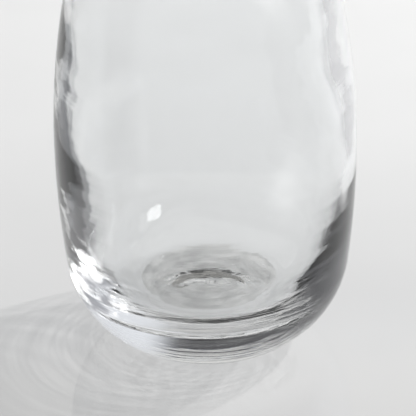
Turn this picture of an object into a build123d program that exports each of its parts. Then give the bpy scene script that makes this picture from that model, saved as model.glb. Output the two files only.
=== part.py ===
"""Barrel-shaped mixing glass: a thick solid base, a waisted neck, a flared rim and one pouring lip.

The origin is on the glass's axis, in the plane that it stands on. +Z is up and +X points to the
pouring lip. All sizes are in millimetres.
"""
from build123d import *
from math import atan2, cos, degrees, radians, sin
import os

NODE = "glass_body"

# Heights above the plane that the glass stands on
HEIGHT = 146.0
THROAT_Z = 122.0
SHOULDER_Z = 108.0
BELLY_Z = 68.0
HEEL_Z = 25.8
CORNER_Z = 32.0
FLOOR_Z = 15.8

# Outside radii. The throat's follows from the shoulder's, so that the two wall arcs meet smoothly.
RIM_R = 43.7
SHOULDER_R = 41.2
BELLY_R = 45.0
HEEL_R = 42.3
FOOT_R = 22.0
WALL_SLOPE = (BELLY_R - SHOULDER_R) / (SHOULDER_Z - BELLY_Z)
THROAT_R = SHOULDER_R - WALL_SLOPE * (THROAT_Z - SHOULDER_Z)

# Thickness of the wall, which thins toward the rim
BELLY_WALL = 4.7
SHOULDER_WALL = 4.1
THROAT_WALL = 3.3
RIM_WALL = 2.9

# Inside radii: the edge of the flat floor, the top of the round corner, then the wall up to the rim
FLOOR_R = 22.5
CORNER_INSIDE_R = 36.9
BELLY_INSIDE_R = BELLY_R - BELLY_WALL
SHOULDER_INSIDE_R = SHOULDER_R - SHOULDER_WALL
THROAT_INSIDE_R = THROAT_R - THROAT_WALL
RIM_INSIDE_R = RIM_R - RIM_WALL

# Underside: a flat contact ring round a shallow hollow
RING_WIDTH = 3.5
HOLLOW_DEPTH = 1.2

# Pouring lip: how far it stands out at the rim, half its width as an angle round the rim, and the
# power by which it grows from the throat to the rim
LIP_REACH = 6.5
LIP_HALF_ANGLE = 36.0
LIP_GROWTH = 2.2

# Fire-polished edge of the rim: a round outside and a bevel inside
RIM_ROUND = 1.1
RIM_BEVEL = 0.8

# A cutting shape runs on past what it cuts by this much
OVERSHOOT = 1.5
# Points round each level section that a skin is lofted through
SECTION_POINTS = 40


def arc_arriving(start, end, end_angle):
    """Arc from start to end whose direction at the end is end_angle degrees above level."""
    chord_angle = degrees(atan2(end[1] - start[1], end[0] - start[0]))
    start_angle = radians(2 * chord_angle - end_angle)
    return TangentArc(start, end, tangent=(cos(start_angle), sin(start_angle)))


def direction(edge, along):
    """Angle above level, in degrees, of an edge's direction at a share of its length."""
    tangent = edge % along
    return degrees(atan2(tangent.Y, tangent.X))


def outside_line():
    """The outside from the foot to the rim, as radius against height.

    Each arc comes with the number of sections that the skin takes along it.
    """
    foot, heel, belly = (FOOT_R, 0), (HEEL_R, HEEL_Z), (BELLY_R, BELLY_Z)
    shoulder, throat, rim = (SHOULDER_R, SHOULDER_Z), (THROAT_R, THROAT_Z), (RIM_R, HEIGHT)
    lower_wall = arc_arriving(heel, belly, 90)
    return [
        (arc_arriving(foot, heel, direction(lower_wall, 0)), 7),
        (lower_wall, 3),
        (TangentArc(belly, shoulder, tangent=(0, 1)), 3),
        (arc_arriving(shoulder, throat, 90), 1),
        (TangentArc(throat, rim, tangent=(0, 1)), 4),
    ]


def inside_line():
    """The inside from the floor's edge to just past the rim, as radius against height.

    Each curve comes with the number of sections that the skin takes along it.
    """
    floor_edge, corner, rim = (FLOOR_R, FLOOR_Z), (CORNER_INSIDE_R, CORNER_Z), (RIM_INSIDE_R, HEIGHT)
    wall = Spline(
        corner,
        (BELLY_INSIDE_R, BELLY_Z),
        (SHOULDER_INSIDE_R, SHOULDER_Z),
        (THROAT_INSIDE_R, THROAT_Z),
        rim,
    )
    return [
        (Spline(floor_edge, corner, tangents=[(1, 0), wall % 0]), 7),
        (wall, 10),
        (Line(rim, Vector(*rim) + (wall % 1) * OVERSHOOT), 1),
    ]


def bevel_line():
    """Slope that takes the corner off the inside of the rim, with its number of sections."""
    inner = (RIM_INSIDE_R - OVERSHOOT, HEIGHT - RIM_BEVEL - OVERSHOOT)
    outer = (RIM_INSIDE_R + RIM_BEVEL + OVERSHOOT, HEIGHT + OVERSHOOT)
    return [(Line(inner, outer), 2)]


def lip_reach(angle, height):
    """How far the pouring lip stands out from the round wall, at an angle from +X and a height."""
    if height <= THROAT_Z or abs(angle) >= LIP_HALF_ANGLE:
        return 0
    growth = ((height - THROAT_Z) / (HEIGHT - THROAT_Z)) ** LIP_GROWTH
    return LIP_REACH * growth * cos(radians(90 * angle / LIP_HALF_ANGLE)) ** 2


def section(radius, height):
    """Level cross-section of a skin: a circle, drawn out at the pouring lip."""
    points = []
    for step in range(SECTION_POINTS):
        angle = 360 * step / SECTION_POINTS - 180
        reach = radius + lip_reach(angle, height)
        points.append((reach * cos(radians(angle)), reach * sin(radians(angle)), height))
    return Face(Wire([Spline(*points, periodic=True)]))


def skin(line):
    """Closed solid inside a skin, lofted through the sections along its line."""
    places = [edge @ (step / steps) for edge, steps in line for step in range(steps)]
    places.append(line[-1][0] @ 1)
    return loft([section(place.X, place.Y) for place in places])


def hollow():
    """Shallow cap of a ball, cut out of the underside inside the contact ring."""
    edge = FOOT_R - RING_WIDTH
    ball_r = (edge ** 2 + HOLLOW_DEPTH ** 2) / (2 * HOLLOW_DEPTH)
    return Pos(0, 0, HOLLOW_DEPTH - ball_r) * Sphere(ball_r)


def glass_body():
    """The whole vessel, blown in one piece."""
    blank = skin(outside_line())
    blank = fillet(blank.faces().sort_by(Axis.Z)[-1].edges(), RIM_ROUND)
    return blank - skin(inside_line()) - skin(bevel_line()) - hollow()


os.makedirs("parts", exist_ok=True)
export_step(glass_body(), f"parts/{NODE}.step")
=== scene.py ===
"""Looks of the mixing glass: blown clear glass, standing on a pale glossy table in soft studio light.

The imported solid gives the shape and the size. Blown glass is never quite round, so the mesh that
stands for it repeats its outline and adds the relief of the real thing: an uneven inner wall, turning
rings and the scar under the base. Sizes of the glass are in millimetres, and MM turns them into the
metres of the scene. Angles round the glass are turned from +X, where the pouring lip is.
"""

from math import atan2, cos, exp, hypot, pi, radians, sin

import bpy
import numpy as np
from mathutils import Matrix, Vector, noise

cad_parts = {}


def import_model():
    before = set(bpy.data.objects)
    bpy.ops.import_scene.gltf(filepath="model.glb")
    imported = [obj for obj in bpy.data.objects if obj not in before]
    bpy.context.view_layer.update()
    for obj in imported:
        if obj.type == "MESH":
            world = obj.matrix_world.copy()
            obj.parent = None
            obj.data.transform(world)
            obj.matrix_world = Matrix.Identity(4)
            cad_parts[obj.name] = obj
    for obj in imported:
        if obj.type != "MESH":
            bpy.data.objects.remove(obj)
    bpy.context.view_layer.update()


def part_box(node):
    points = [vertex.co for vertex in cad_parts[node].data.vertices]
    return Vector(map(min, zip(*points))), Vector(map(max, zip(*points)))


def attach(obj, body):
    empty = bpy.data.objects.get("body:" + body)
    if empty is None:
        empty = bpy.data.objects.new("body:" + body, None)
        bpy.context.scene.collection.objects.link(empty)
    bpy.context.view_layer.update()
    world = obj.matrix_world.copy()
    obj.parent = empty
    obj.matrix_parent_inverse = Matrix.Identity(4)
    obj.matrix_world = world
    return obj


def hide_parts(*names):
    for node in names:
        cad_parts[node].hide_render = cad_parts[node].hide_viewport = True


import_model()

NODE = "glass_body"
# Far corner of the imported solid's box: its x is the tip of the lip, and its z the top of the rim
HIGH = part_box(NODE)[1]

# Heights above the table
HEIGHT = 146.0
THROAT_Z = 122.0
SHOULDER_Z = 108.0
BELLY_Z = 68.0
FLOOR_Z = 15.8
MM = HIGH.z / HEIGHT

# Outline of the glass's section, walked from the middle of the underside, up the outside, over the rim
# and down the inside to the middle of the floor. Each row is a radius, a height, the direction of
# travel there in degrees, and the mesh rows on the stretch that ends there. No stretch ends at START.
START = (0.0, 1.2, 0)
UNDERSIDE = [
    (17.8, 0.09, -7.2, 40),
    (19.3, 0.0, 0, 4),
    (21.0, 0.0, 0, 3),
    (23.0, 0.4, 22.9, 5),
]
OUTSIDE = [
    (42.3, 25.8, 82.7, 70),
    (45.0, BELLY_Z, 90, 42),
    (41.2, SHOULDER_Z, 100.9, 36),
    (39.87, THROAT_Z, 90, 12),
    (43.2, 144.4, 73, 20),
]
RIM = [
    (42.2, HEIGHT, 180, 8),
    (40.29, 144.6, 250.5, 8),
]
INSIDE = [
    (35.6, THROAT_Z, 270, 16),
    (36.7, SHOULDER_Z, 279, 12),
    (38.8, 88.0, 276, 20),
    (40.3, BELLY_Z, 270, 24),
    (39.9, 54.0, 267, 18),
    (38.7, 40.0, 263, 22),
    (37.2, 32.0, 255, 18),
    (34.4, 24.0, 240, 30),
    (29.4, 18.0, 208, 30),
    (22.5, FLOOR_Z, 180, 18),
]
FLOOR = [(0.0, FLOOR_Z, 180, 28)]
# Mesh columns round the glass
COLUMNS = 200

# Pouring lip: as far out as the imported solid's, whose rim had this radius before its edge was
# rounded. Rounding the edge takes a little off the lip's tip.
RIM_R = 43.7
TIP_LOSS = 0.9
LIP_REACH = HIGH.x / MM - RIM_R + TIP_LOSS
LIP_HALF_ANGLE = 36.0
LIP_GROWTH = 2.2

# Lower wall: heights, and how much glass is added there on the left and on the right
SIDE_HEIGHTS = [18.0, 24.0, 32.0, 40.0, 47.0, 54.0, 60.0, 68.0]
LEFT_ADDED = [0.0, 0.2, 0.5, 0.75, 0.85, 0.75, 0.5, 0.2]
RIGHT_ADDED = [0.0, 0.3, 0.4, 0.0, -0.4, -0.4, -0.3, -0.1]

# Upper wall: the cavity stands off the axis, so that the wall is thicker on the lip's side
OFF_CENTRE = 0.8

# Belly: how far it is slack of round, how much less so toward the lip, and where
SLACK = 0.35
SLACK_EASED = 0.12
SLACK_Z = 88.0
SLACK_SPREAD = 30.0

# Turning rings on the outside, and the height over which they fade
RING_DEPTH = 0.022
RING_FADE = 34.0
# The outside lies this far inside its outline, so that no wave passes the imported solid's box
OUTSIDE_INSET = 0.03

# Floor of the cavity: the disc of painted grey shade, for the table seen under the base, in a faint
# raised ring
FLOOR_DISC_R = 21.6
FLOOR_RING_HEIGHT = 0.07

# Scar under the base, inside the contact ring: where the iron was cracked off, and a hooked ridge
# round a point. The ridge is highest in one direction from there and fades to both sides of it.
SCAR_EDGE_R = 18.5
IRON_R = 12.6
IRON_RIDGE = 0.16
HOOK_X = -2.0
HOOK_Y = 1.0
HOOK_R = 9.0
HOOK_RIDGE = 0.18
HOOK_DIRECTION = 100.0
HOOK_SPREAD = 70.0
SCAR_INSET = 0.1


def share_of(value, nothing, everything):
    """Share from 0 to 1 as a value goes from one limit to the other."""
    return min(max((value - nothing) / (everything - nothing), 0), 1)


def ridge(distance, width):
    """Height from 0 to 1 at a distance from the top of a smooth ridge."""
    return exp(-((distance / width) ** 2))


def half_turn(angle):
    """The same angle, from minus half a turn to half a turn."""
    return (angle + pi) % (2 * pi) - pi


def wave(angle, along, turns, length, seed):
    """Smooth random wave round the glass and along its outline, about -1 to 1."""
    place = Vector((turns * cos(angle), turns * sin(angle), along / length + seed))
    return 2 * noise.noise(place)


def lip_reach(angle, height):
    """How far the pouring lip stands out from the round wall."""
    turn = half_turn(angle)
    if height <= THROAT_Z or abs(turn) >= radians(LIP_HALF_ANGLE):
        return 0
    growth = ((height - THROAT_Z) / (HEIGHT - THROAT_Z)) ** LIP_GROWTH
    return LIP_REACH * growth * cos(pi / 2 * turn / radians(LIP_HALF_ANGLE)) ** 2


# Relief of each part of the outline, as glass added at an angle, a radius and a height
def underside_relief(angle, radius, height):
    """The scar: a ring where the iron was cracked off, a hooked ridge and a rough skin."""
    x, y = radius * cos(angle), radius * sin(angle)
    inside = 1 - ridge(max(SCAR_EDGE_R - radius, 0), 3)
    uneven = 0.8 * wave(angle, 0, turns=1.0, length=1, seed=2)
    ring = IRON_RIDGE * ridge(radius - IRON_R - uneven, 1.0)
    from_hook = hypot(x - HOOK_X, y - HOOK_Y) - HOOK_R
    turn = half_turn(atan2(y - HOOK_Y, x - HOOK_X) - radians(HOOK_DIRECTION))
    hook = HOOK_RIDGE * ridge(from_hook, 1.1) * ridge(turn, radians(HOOK_SPREAD))
    swirl = 0.05 * sin(radius * 2.4 + 2 * angle) * (radius / 18)
    rough = 0.10 * wave(angle, radius, turns=radius / 3.2, length=3.2, seed=9)
    rough += 0.03 * wave(angle, radius, turns=radius / 1.3, length=1.3, seed=4)
    return inside * (ring + hook + swirl + rough) - SCAR_INSET * inside


def outside_relief(angle, radius, height):
    """A belly that is a little slack of round, and faint turning rings round the foot."""
    slack = (SLACK - SLACK_EASED * cos(angle)) * ridge(height - SLACK_Z, SLACK_SPREAD)
    rings = RING_DEPTH * wave(angle, height + radius, turns=0.7, length=2.0, seed=7)
    waves = 0.02 * wave(angle, height, turns=0.9, length=30, seed=7)
    return -slack + rings * exp(-height / RING_FADE) + waves - OUTSIDE_INSET


def rim_relief(angle, radius, height):
    """None, as the fire has polished it smooth."""
    return 0.0


def side_wall(angle, height):
    """Glass that the gather left on the two sides as it sagged."""
    share = share_of(abs(cos(angle)), 0.40, 0.90)
    added = RIGHT_ADDED if cos(angle) > 0 else LEFT_ADDED
    return share * share * (3 - 2 * share) * float(np.interp(height, SIDE_HEIGHTS, added))


def inside_relief(angle, radius, height):
    """A cavity that stands off the axis toward its top, with uneven sides and slow waves."""
    off_centre = OFF_CENTRE * share_of(height, 60, 90) * cos(angle)
    waves = 0.10 * wave(angle, height, turns=1.1, length=24, seed=3)
    waves += 0.02 * wave(angle, height, turns=3.0, length=5, seed=11)
    return share_of(height, 20, 45) * (off_centre + waves) + side_wall(angle, height)


def floor_relief(angle, radius, height):
    """A floor that the gather left a little lumpy, with the raised ring round its disc."""
    ring = FLOOR_RING_HEIGHT * ridge(radius - FLOOR_DISC_R, 0.5)
    return ring + 0.08 * wave(angle, radius, turns=radius / 9, length=9, seed=5)


PARTS = [
    (UNDERSIDE, underside_relief),
    (OUTSIDE, outside_relief),
    (RIM, rim_relief),
    (INSIDE, inside_relief),
    (FLOOR, floor_relief),
]


# Glass
def stretch(start, end):
    """Points of a curve from start to end that leaves and arrives in their directions."""
    a, b = Vector(start[:2]), Vector(end[:2])
    turn = radians(end[2] - start[2])
    reach = (b - a).length / (3 * cos(turn / 4) ** 2)
    a_out = a + reach * Vector((cos(radians(start[2])), sin(radians(start[2]))))
    b_in = b - reach * Vector((cos(radians(end[2])), sin(radians(end[2]))))
    points = []
    for step in range(1, end[3] + 1):
        u = step / end[3]
        v = 1 - u
        points.append(v ** 3 * a + 3 * v * v * u * a_out + 3 * v * u * u * b_in + u ** 3 * b)
    return points


def outline():
    """The whole outline as (radius, height, relief there), with both ends on the axis."""
    last = START
    rows = [(last[0], last[1], underside_relief)]
    for ends, relief in PARTS:
        for end in ends:
            rows += [(point.x, point.y, relief) for point in stretch(last, end)]
            last = end
    return rows


def ways_out(points):
    """At each point of the outline, the direction that leaves the glass."""
    ahead = np.roll(points, -1, axis=0)
    behind = np.roll(points, 1, axis=0)
    # The outline runs level through both of its ends
    ahead[-1] = points[-1] - (1, 0)
    behind[0] = points[0] - (1, 0)
    travel = ahead - behind
    travel /= np.linalg.norm(travel, axis=1)[:, None]
    # Right of the way that the outline is walked is outside the glass
    return np.stack([travel[:, 1], -travel[:, 0]], axis=1)


def glass_shape():
    """Corners and faces of the outline turned round the axis, with its relief and its lip."""
    rows = outline()
    out = ways_out(np.array([(radius, height) for radius, height, relief in rows]))
    verts = []
    for (radius, height, relief), (out_r, out_z) in zip(rows[1:-1], out[1:-1]):
        for column in range(COLUMNS):
            angle = 2 * pi * column / COLUMNS
            added = relief(angle, radius, height)
            r = radius + lip_reach(angle, height) + out_r * added
            z = height + out_z * added
            verts.append((r * cos(angle) * MM, r * sin(angle) * MM, z * MM))
    bottom, top = len(verts), len(verts) + 1
    verts.append((0, 0, (rows[0][1] - underside_relief(0, 0, 0)) * MM))
    verts.append((0, 0, (rows[-1][1] + floor_relief(0, 0, 0)) * MM))
    faces = []
    last = (len(rows) - 3) * COLUMNS
    for column in range(COLUMNS):
        after = (column + 1) % COLUMNS
        faces.append((bottom, after, column))
        for low in range(0, last, COLUMNS):
            high = low + COLUMNS
            faces.append((low + column, low + after, high + after, high + column))
        faces.append((last + column, last + after, top))
    return verts, faces


def link(piece):
    """Put a piece into the scene."""
    bpy.context.scene.collection.objects.link(piece)
    return piece


def mesh_piece(name, verts, faces, finish):
    """A piece of one material, made from its corners and faces."""
    mesh = bpy.data.meshes.new(name)
    mesh.from_pydata(verts, [], faces)
    mesh.materials.append(finish)
    mesh.update()
    return link(bpy.data.objects.new(name, mesh))


def finish_of(name):
    """A new material and its node tree."""
    material = bpy.data.materials.new(name)
    material.use_nodes = True
    return material, material.node_tree


def cover_with(tree, shader):
    """Make a shader node the surface of its material."""
    tree.links.new(shader.outputs[0], tree.nodes["Material Output"].inputs["Surface"])


def node(tree, kind, inputs=(), **settings):
    """A node of a kind, with its settings and its inputs: plain values, or sockets to link from."""
    made = tree.nodes.new("ShaderNode" + kind)
    for name, value in settings.items():
        setattr(made, name, value)
    for name, value in dict(inputs).items():
        if isinstance(value, bpy.types.NodeSocket):
            tree.links.new(value, made.inputs[name])
        else:
            made.inputs[name].default_value = value
    return made


def arithmetic(tree, operation, a, b=0.0):
    """Outcome of a sum on two numbers, or on one."""
    return node(tree, "Math", {0: a, 1: b}, operation=operation).outputs[0]


def vector(tree, operation, a, b):
    """Outcome of a sum on two vectors."""
    return node(tree, "VectorMath", {0: a, 1: b}, operation=operation).outputs[0]


def scaled(tree, place, factor):
    """A place, as many times as far from the origin."""
    return node(tree, "VectorMath", {0: place, "Scale": factor}, operation="SCALE").outputs[0]


def length(tree, place):
    """Distance from the origin."""
    return node(tree, "VectorMath", {0: place}, operation="LENGTH").outputs["Value"]


def split(tree, place):
    """The three coordinates of a place."""
    return node(tree, "SeparateXYZ", {0: place}).outputs


def level(tree, place):
    """A place without its height."""
    parts = split(tree, place)
    return node(tree, "CombineXYZ", {0: parts[0], 1: parts[1]}).outputs[0]


def object_place(tree):
    """Place on the piece, in metres from its origin."""
    return node(tree, "TexCoord").outputs["Object"]


def cloud(tree, place, scale, detail):
    """Smooth random pattern, as a node with a value and a colour."""
    return node(tree, "TexNoise", {"Vector": place, "Scale": scale, "Detail": detail})


def ring_place(tree, across, along):
    """Place that changes fast along the outline and slowly round it, for turning rings."""
    place = object_place(tree)
    flat = level(tree, place)
    run = arithmetic(tree, "ADD", split(tree, place)[2], length(tree, flat))
    run = arithmetic(tree, "MULTIPLY", run, along)
    parts = split(tree, scaled(tree, flat, across))
    return node(tree, "CombineXYZ", {0: parts[0], 1: parts[1], 2: run}).outputs[0]


def between(tree, value, nothing, everything):
    """Share from 0 to 1 as a value goes from one limit to the other, with soft ends."""
    limits = {"Value": value, "From Min": nothing, "From Max": everything}
    return node(tree, "MapRange", limits, interpolation_type="SMOOTHSTEP").outputs["Result"]


def tones(tree, value, stops):
    """Colour that follows a value through stops, each a value and a colour."""
    made = node(tree, "ValToRGB", {"Fac": value})
    elements = made.color_ramp.elements
    while len(elements) < len(stops):
        elements.new(0.5)
    for element, (position, colour) in zip(elements, stops):
        element.position = position
        element.color = (*colour, 1)
    return made.outputs["Color"]


def blend(tree, share, a, b):
    """Colour that goes from one to the other with a share."""
    return node(tree, "Mix", {"Factor": share, "A": a, "B": b}, data_type="RGBA").outputs["Result"]


# Clear glass, and the shade that it lets lamps cast: soft rings between two tones
GLASS_COLOUR = (0.953, 0.961, 0.964, 1)
GLASS_IOR = 1.52
FINE_RING_DEPTH = 0.012 * MM
SHADE_TONES = [(0.42, (0.82, 0.823, 0.825)), (0.62, (0.985, 0.985, 0.985))]

# Painted shade in the cavity's floor: a grey disc with a soft edge, for the table seen in shade under
# the base. It is painted only above this height, so that the underside stays clear.
UNDER_BASE_PAINTED_SHADE_TONES = [(0.0, (0.42, 0.42, 0.415)), (1.0, (0.92, 0.92, 0.90))]
DISC_SOFTNESS = 0.35
DISC_MIN_Z = 8.5

# Painted shade of a dark hooked scar in the disc: what is left of one circle when another is taken
# from it, and a curl at its left end. Circles are the x, the y and the radius.
SCAR_PAINTED_SHADE_COLOUR = (0.17, 0.165, 0.15, 1)
SCAR_OUTER = (0.0, -5.2, 11.35)
SCAR_INNER = (0.8, -9.6, 11.25)
SCAR_CURL = (-8.9, -4.6, 2.1)
SCAR_SOFTNESS = 0.25
RAGGED = 1.2
# The scar stops at the first of these levels across the disc, and the curl hangs from the second
SCAR_STOP_Y = -4.9
CURL_TOP_Y = -4.6


def from_circle(tree, place, circle):
    """Level distance outward from a circle."""
    x, y, radius = circle
    offset = vector(tree, "SUBTRACT", place, (x, y, 0))
    return arithmetic(tree, "SUBTRACT", length(tree, offset), radius)


def painted_scar_shade(tree, flat):
    """Share of the scar's painted shade at a level place in mm, with ragged edges."""
    rough = cloud(tree, flat, scale=0.7, detail=2.0).outputs["Color"]
    rough = vector(tree, "SUBTRACT", rough, (0.5, 0.5, 0.5))
    rough = vector(tree, "MULTIPLY", rough, (RAGGED, RAGGED, 0))
    torn = vector(tree, "ADD", flat, rough)
    y = split(tree, flat)[1]
    inside = between(tree, from_circle(tree, torn, SCAR_OUTER), SCAR_SOFTNESS, -SCAR_SOFTNESS)
    outside = between(tree, from_circle(tree, torn, SCAR_INNER), -SCAR_SOFTNESS, SCAR_SOFTNESS)
    scar = arithmetic(tree, "MULTIPLY", inside, outside)
    scar = arithmetic(tree, "MULTIPLY", scar, between(tree, y, SCAR_STOP_Y - 0.5, SCAR_STOP_Y + 0.5))
    off_curl = arithmetic(tree, "ABSOLUTE", from_circle(tree, torn, SCAR_CURL))
    curl = between(tree, off_curl, 0.75, 0.35)
    curl = arithmetic(tree, "MULTIPLY", curl, between(tree, y, CURL_TOP_Y + 0.4, CURL_TOP_Y - 0.4))
    return arithmetic(tree, "MAXIMUM", scar, curl)


def glass_colour_with_painted_shade(tree):
    """Colour of the glass: clear, with painted shade in the cavity's floor, a mottled grey disc and a
    dark hooked scar.
    """
    place = object_place(tree)
    flat = scaled(tree, level(tree, place), 1 / MM)
    above = between(tree, split(tree, place)[2], (DISC_MIN_Z - 0.5) * MM, (DISC_MIN_Z + 0.5) * MM)
    from_disc = from_circle(tree, flat, (0, 0, FLOOR_DISC_R))
    # Painted shade: the mottled grey of the table under the base, seen through the floor
    painted_shade_share = arithmetic(tree, "MULTIPLY", above, between(tree, from_disc, DISC_SOFTNESS, -DISC_SOFTNESS))
    swirl = cloud(tree, ring_place(tree, across=70, along=420), scale=1.0, detail=4.0)
    blots = cloud(tree, flat, scale=0.13, detail=3.0)
    mottle = arithmetic(tree, "ADD", swirl.outputs["Fac"], blots.outputs["Fac"])
    shade_grey = tones(tree, between(tree, mottle, 0.72, 1.28), UNDER_BASE_PAINTED_SHADE_TONES)
    # Painted shade: the dark hooked scar laid over the grey
    shade_and_scar = blend(tree, painted_scar_shade(tree, flat), shade_grey, SCAR_PAINTED_SHADE_COLOUR)
    return blend(tree, painted_shade_share, GLASS_COLOUR, shade_and_scar)


def clear_glass():
    """Clear glass with fine turning rings. Lamps shine through it, with soft rings in its shadow."""
    material, tree = finish_of("clear_glass")
    glass = tree.nodes["Principled BSDF"]
    tree.links.new(glass_colour_with_painted_shade(tree), glass.inputs["Base Color"])
    glass.inputs["Roughness"].default_value = 0.0
    glass.inputs["IOR"].default_value = GLASS_IOR
    glass.inputs["Transmission Weight"].default_value = 1.0
    fine = cloud(tree, ring_place(tree, across=25, along=900), scale=1.0, detail=3.0).outputs["Fac"]
    bump = node(tree, "Bump", {"Height": fine, "Strength": 1.0, "Distance": FINE_RING_DEPTH})
    tree.links.new(bump.outputs["Normal"], glass.inputs["Normal"])
    arcs = cloud(tree, ring_place(tree, across=14, along=900), scale=1.0, detail=2.0).outputs["Fac"]
    shade = node(tree, "BsdfTransparent", {"Color": tones(tree, arcs, SHADE_TONES)}).outputs[0]
    casting = node(tree, "LightPath").outputs["Is Shadow Ray"]
    cover_with(tree, node(tree, "MixShader", {0: casting, 1: glass.outputs[0], 2: shade}))
    return material


glass = mesh_piece("blown_glass", *glass_shape(), clear_glass())
glass.data.shade_smooth()
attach(glass, "root")
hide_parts(NODE)
glass.visible_diffuse = False


# Table, in metres. Painted falloff of light: it is darker in front of the glass than behind it.
TABLE_HALF = 3.0
TABLE_FRONT_Y = -0.20
TABLE_BACK_Y = 0.26
TABLE_MOTTLE_AND_PAINTED_FALLOFF_TONES = [(0.0, (0.53, 0.53, 0.53)), (1.0, (0.96, 0.96, 0.955))]
MOTTLE_SHARE = 0.3


def table_finish():
    """White laminate with a soft gloss, a faint mottle and a painted falloff of light toward the
    front.
    """
    material, tree = finish_of("table_finish")
    place = object_place(tree)
    # Painted falloff of light: darker toward the front
    painted_falloff = between(tree, split(tree, place)[1], TABLE_FRONT_Y, TABLE_BACK_Y)
    painted_falloff = arithmetic(tree, "MULTIPLY", painted_falloff, 1 - MOTTLE_SHARE)
    mottle = cloud(tree, place, scale=9.0, detail=3.0).outputs["Fac"]
    mottle = arithmetic(tree, "MULTIPLY", mottle, MOTTLE_SHARE)
    tint = tones(tree, arithmetic(tree, "ADD", painted_falloff, mottle), TABLE_MOTTLE_AND_PAINTED_FALLOFF_TONES)
    paint = tree.nodes["Principled BSDF"]
    tree.links.new(tint, paint.inputs["Base Color"])
    paint.inputs["Roughness"].default_value = 0.06
    paint.inputs["IOR"].default_value = 1.4
    return material


def table():
    """Table top, far wider than the picture."""
    half = TABLE_HALF
    corners = [(-half, -half, 0), (half, -half, 0), (half, half, 0), (-half, half, 0)]
    mesh_piece("table", corners, [(0, 1, 2, 3)], table_finish())


table()


# Glowing sheets that lie flat just above the table and show only through the glass: painted shade,
# and one painted highlight. The walls of the glass bend the view down to them, so that they draw its
# dark and its pale edges. Each has a name, the corners that it is full inside, the corners where it
# has faded out, its height and its colour, in metres.
PAINTED_EDGE_SHEETS = [
    (
        "left_painted_shade",
        [(-0.059, -0.006), (-0.059, 0.042), (-0.095, 0.042), (-0.090, -0.006)],
        [(-0.053, -0.014), (-0.053, 0.049), (-0.135, 0.049), (-0.130, -0.014)],
        0.0005,
        (0.15, 0.15, 0.155),
    ),
    (
        "left_middle_painted_shade",
        [(-0.069, 0.044), (-0.086, 0.136), (-0.165, 0.136), (-0.13, 0.044)],
        [(-0.065, 0.036), (-0.082, 0.146), (-0.20, 0.146), (-0.16, 0.036)],
        0.0006,
        (0.15, 0.155, 0.165),
    ),
    (
        "left_far_painted_shade",
        [(-0.094, 0.130), (-0.114, 0.190), (-0.19, 0.190), (-0.16, 0.130)],
        [(-0.084, 0.120), (-0.104, 0.210), (-0.24, 0.210), (-0.20, 0.120)],
        0.0005,
        (0.40, 0.41, 0.42),
    ),
    (
        "left_near_painted_shade",
        [(-0.052, -0.010), (-0.052, 0.011), (-0.043, 0.011), (-0.043, -0.010)],
        [(-0.056, -0.014), (-0.056, 0.015), (-0.039, 0.015), (-0.039, -0.014)],
        0.0007,
        (0.22, 0.22, 0.22),
    ),
    (
        # Painted highlight: a white glowing sheet
        "left_painted_highlight",
        [(-0.067, -0.002), (-0.067, 0.022), (-0.057, 0.022), (-0.057, -0.002)],
        [(-0.071, -0.006), (-0.071, 0.026), (-0.053, 0.026), (-0.053, -0.006)],
        0.0008,
        (1.0, 1.0, 1.0),
    ),
    (
        "right_painted_shade",
        [(0.060, -0.004), (0.081, -0.006), (0.086, 0.034), (0.066, 0.040)],
        [(0.053, -0.030), (0.125, -0.036), (0.135, 0.060), (0.053, 0.054)],
        0.0005,
        (0.20, 0.20, 0.205),
    ),
    (
        "right_far_painted_shade",
        [(0.135, 0.115), (0.22, 0.115), (0.22, 0.20), (0.135, 0.20)],
        [(0.115, 0.095), (0.26, 0.095), (0.26, 0.25), (0.115, 0.25)],
        0.0005,
        (0.66, 0.66, 0.67),
    ),
]


def glow(tree, colour):
    """Plain light of a colour, the same from everywhere."""
    return node(tree, "Emission", {"Color": (*colour, 1), "Strength": 1.0})


def painted_edge_glow(name, colour):
    """Plain glow that fades out toward the edge of a sheet of painted shade or painted highlight."""
    material, tree = finish_of(name)
    bare = node(tree, "BsdfTransparent").outputs[0]
    cover = node(tree, "Attribute", attribute_name="cover").outputs["Fac"]
    cover_with(tree, node(tree, "MixShader", {0: cover, 1: bare, 2: glow(tree, colour).outputs[0]}))
    return material


def painted_edge_sheet(name, full, edge, lift, colour):
    """One sheet of painted shade or painted highlight, seen only through the glass."""
    verts = [(x, y, lift) for x, y in full + edge]
    faces = [(0, 1, 2, 3)]
    faces += [(k, k + 4, (k + 1) % 4 + 4, (k + 1) % 4) for k in range(4)]
    piece = mesh_piece(name, verts, faces, painted_edge_glow(name + "_finish", colour))
    cover = piece.data.attributes.new("cover", "FLOAT", "POINT")
    for index, point in enumerate(cover.data):
        point.value = 1.0 if index < 4 else 0.0
    piece.visible_camera = False
    piece.visible_diffuse = False
    piece.visible_glossy = False
    piece.visible_shadow = False


for row in PAINTED_EDGE_SHEETS:
    painted_edge_sheet(*row)


def direction(around, rise):
    """Direction so many degrees to the right of straight back, and so many up."""
    around, rise = radians(around), radians(rise)
    return Vector((sin(around) * cos(rise), cos(around) * cos(rise), sin(rise)))


def facing(target, away, reach):
    """Placement at a reach from a target, in a direction away from it, turned to face back to it."""
    turned = away.to_track_quat("Z", "Y").to_matrix().to_4x4()
    return Matrix.Translation(target + reach * away) @ turned


# Camera: a long lens that looks down on the base, rolled a little as a hand-held one is
CAMERA_RISE = 28.4
CAMERA_ROLL = -1.26
CAMERA_REACH = 1.2
FRAME_WIDTH = 0.124
SENSOR = 36.0
AIM = Vector((0.36 * MM, 0.0, 40.6 * MM))


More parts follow.
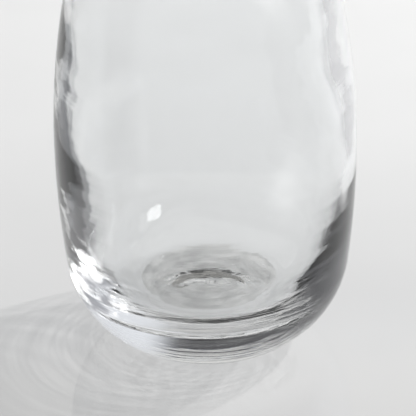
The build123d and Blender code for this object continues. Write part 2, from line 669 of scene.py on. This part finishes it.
def camera():
    """Camera straight in front of the glass."""
    data = bpy.data.cameras.new("camera")
    data.sensor_width = SENSOR
    data.lens = SENSOR * CAMERA_REACH / FRAME_WIDTH
    piece = link(bpy.data.objects.new("camera", data))
    roll = Matrix.Rotation(radians(CAMERA_ROLL), 4, "Z")
    piece.matrix_world = facing(AIM, direction(180, CAMERA_RISE), CAMERA_REACH) @ roll
    bpy.context.scene.camera = piece


camera()


# Studio round the table: stops by the sine of the rise. Dim walls reach up to a level line, with a
# bright strip on it, and the room is bright again well above.
LINE = sin(radians(30.0))
STUDIO_TONES = [
    (0.0, (0.26, 0.26, 0.26)),
    (0.25, (0.05, 0.05, 0.055)),
    (LINE - 0.006, (0.03, 0.03, 0.035)),
    (LINE, (0.42, 0.46, 0.55)),
    (LINE + 0.012, (1.00, 0.98, 0.92)),
    (LINE + 0.042, (0.46, 0.46, 0.46)),
    (LINE + 0.13, (0.42, 0.42, 0.42)),
    (LINE + 0.19, (0.85, 0.85, 0.84)),
    (1.0, (0.91, 0.91, 0.905)),
]
# Soft round areas of the studio: direction to the right of straight back, rise, half the width at the
# foot of the soft edge, half the width of the full part, all in degrees, and colour
SOFT_AREAS = [
    (55, 0, 48.7, 36.9, (0.80, 0.82, 0.86)),
    (-135, 22, 60, 47, (0.06, 0.06, 0.065)),
    (88, 26, 24, 16, (0.40, 0.41, 0.44)),
    (103, 26, 12, 9, (1.6, 1.6, 1.6)),
    (66, 36, 8, 5, (1.6, 1.6, 1.6)),
]

# Hard-edged lamp behind the glass on the right
KEY_AROUND = 58.4
KEY_RISE = 37.0
KEY_REACH = 2.0
KEY_SIZE = 0.05
KEY_POWER = 34.0

# Far oval lamps that show only as glints in the glass
GLINT_REACH = 2.5
GLINT_STRENGTH = 9.0
GLINT_CORNERS = 32


def world():
    """The studio's tones, with its soft areas laid over them."""
    made = bpy.data.worlds.new("studio")
    bpy.context.scene.world = made
    made.use_nodes = True
    tree = made.node_tree
    place = node(tree, "TexCoord").outputs["Generated"]
    colour = tones(tree, split(tree, place)[2], STUDIO_TONES)
    for around, rise, edge, full, area in SOFT_AREAS:
        toward = direction(around, rise)
        beside = node(tree, "VectorMath", {0: place, 1: toward}, operation="DOT_PRODUCT")
        share = between(tree, beside.outputs["Value"], cos(radians(edge)), cos(radians(full)))
        colour = blend(tree, share, colour, (*area, 1))
    tree.links.new(colour, tree.nodes["Background"].inputs["Color"])


def key_light():
    """The lamp that casts the shadow."""
    data = bpy.data.lights.new("key", "AREA")
    data.shape = "DISK"
    data.size = KEY_SIZE
    data.energy = KEY_POWER
    piece = link(bpy.data.objects.new("key", data))
    piece.matrix_world = facing(Vector(), direction(KEY_AROUND, KEY_RISE), KEY_REACH)
    piece.visible_glossy = False


def glint_lamp(name, around, rise, half_width, half_height):
    """Far oval lamp, with its direction and half its size in degrees."""
    width, height = GLINT_REACH * radians(half_width), GLINT_REACH * radians(half_height)
    turns = [2 * pi * k / GLINT_CORNERS for k in range(GLINT_CORNERS)]
    corners = [(width * cos(turn), height * sin(turn), 0) for turn in turns]
    material, tree = finish_of(name + "_finish")
    cover_with(tree, glow(tree, (GLINT_STRENGTH, GLINT_STRENGTH, GLINT_STRENGTH)))
    piece = mesh_piece(name, corners, [tuple(range(GLINT_CORNERS))], material)
    piece.matrix_world = facing(Vector(), direction(around, rise), GLINT_REACH)
    piece.visible_camera = False
    piece.visible_diffuse = False
    piece.visible_shadow = False


world()
key_light()
glint_lamp("glint_lamp_large", 119.0, 26.0, 9.5, 4.8)
glint_lamp("glint_lamp_small", 82.0, 46.2, 2.2, 1.5)

scene = bpy.context.scene
scene.view_settings.view_transform = "Standard"
scene.cycles.max_bounces = 32
scene.cycles.transmission_bounces = 32
scene.cycles.glossy_bounces = 12
scene.cycles.transparent_max_bounces = 16
scene.cycles.caustics_reflective = False
scene.cycles.caustics_refractive = False
